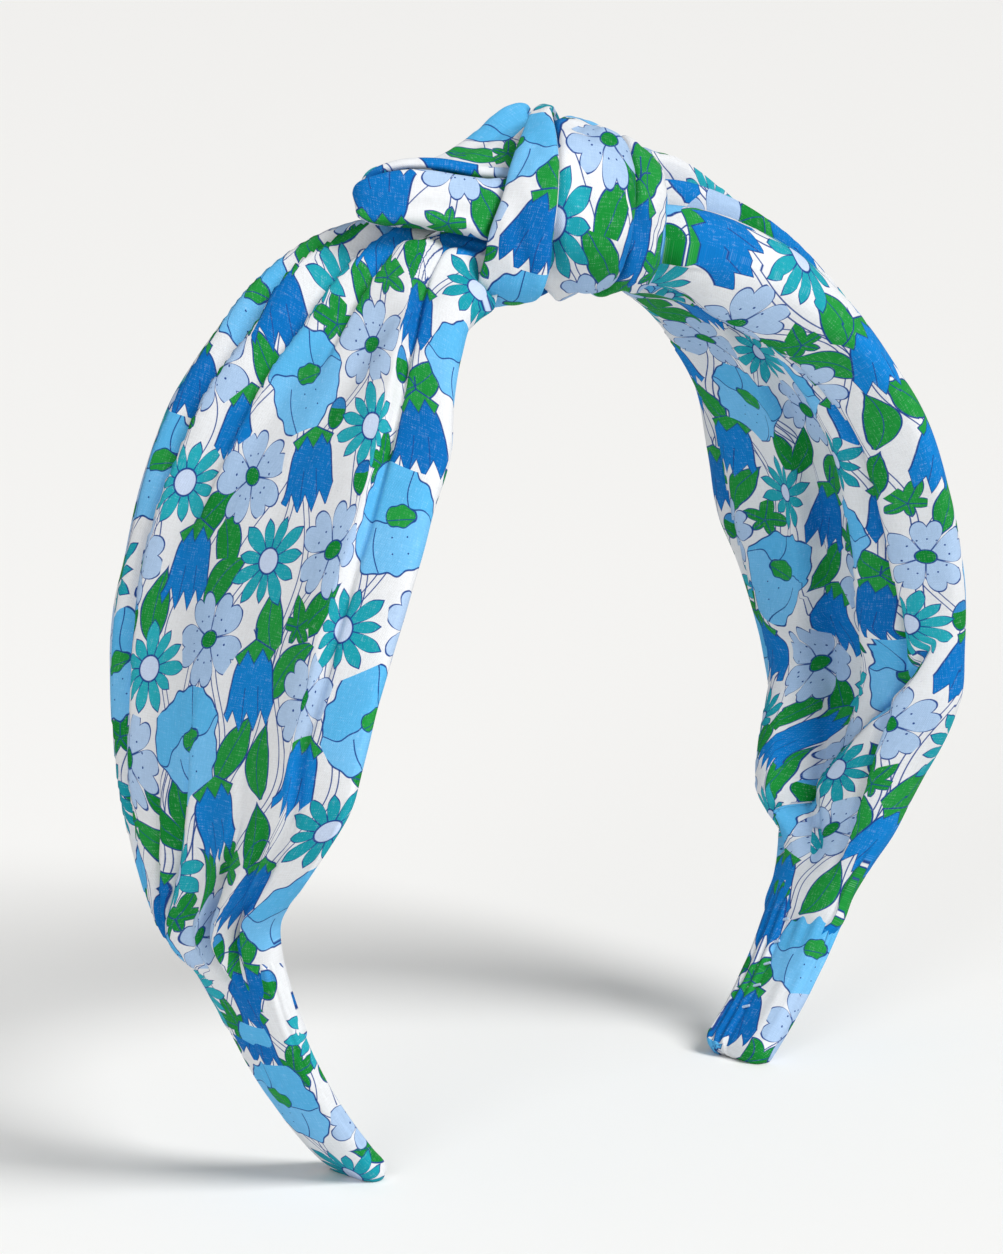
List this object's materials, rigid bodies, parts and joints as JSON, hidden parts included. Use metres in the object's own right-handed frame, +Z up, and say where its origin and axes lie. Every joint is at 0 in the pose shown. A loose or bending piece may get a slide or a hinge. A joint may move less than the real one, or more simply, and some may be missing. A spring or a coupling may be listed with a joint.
{
  "type": "knotted headband",
  "caption": "Springy C-shaped hair band in a wide printed cotton sleeve, gathered to narrow tips, with a large soft knot on the crown.",
  "frame": {"origin": "midway between the two tips, on the plane the tips stand on", "axes": "+X towards the right arm, +Y towards the back of the head, +Z up through the knot"},
  "size_m": [0.143, 0.0594, 0.1565],
  "materials": {
    "hoop_plastic": "moulded, satin",
    "printed_cotton": "fine plain-weave cotton lawn, blue, turquoise and green floral print on warm white",
    "stiffener": "white non-woven interlining",
    "thread": "white sewing thread",
    "adhesive": "clear-amber hot-melt film"
  },
  "bodies": {
    "crown": {"hoop_crown": "hoop_plastic", "knot_core": "printed_cotton", "knot_left_upper_fold": "printed_cotton", "knot_left_lower_fold": "printed_cotton", "knot_centre_wrap": "printed_cotton", "knot_right_lobe": "printed_cotton", "knot_right_neck": "printed_cotton", "knot_tack_stitches": "thread"},
    "left_arm": {"hoop_left_arm": "hoop_plastic", "left_sleeve": "printed_cotton", "left_stiffener": "stiffener", "left_tip_cover": "printed_cotton", "left_gather_glue": "adhesive", "left_tip_stitches": "thread"},
    "right_arm": {"hoop_right_arm": "hoop_plastic", "right_sleeve": "printed_cotton", "right_stiffener": "stiffener", "right_tip_cover": "printed_cotton", "right_gather_glue": "adhesive", "right_tip_stitches": "thread"}
  },
  "joints": [
    {"name": "left_arm_flex", "type": "hinge", "parent": "crown", "child": "left_arm", "pos_m": [-0.03828, 0, 0.12884], "axis": [0, 1, 0], "range_deg": [-3, 14], "stiffness_Nm_per_rad": 1.6},
    {"name": "right_arm_flex", "type": "hinge", "parent": "crown", "child": "right_arm", "pos_m": [0.03828, 0, 0.12884], "axis": [0, -1, 0], "range_deg": [-3, 14], "stiffness_Nm_per_rad": 1.6}
  ]
}
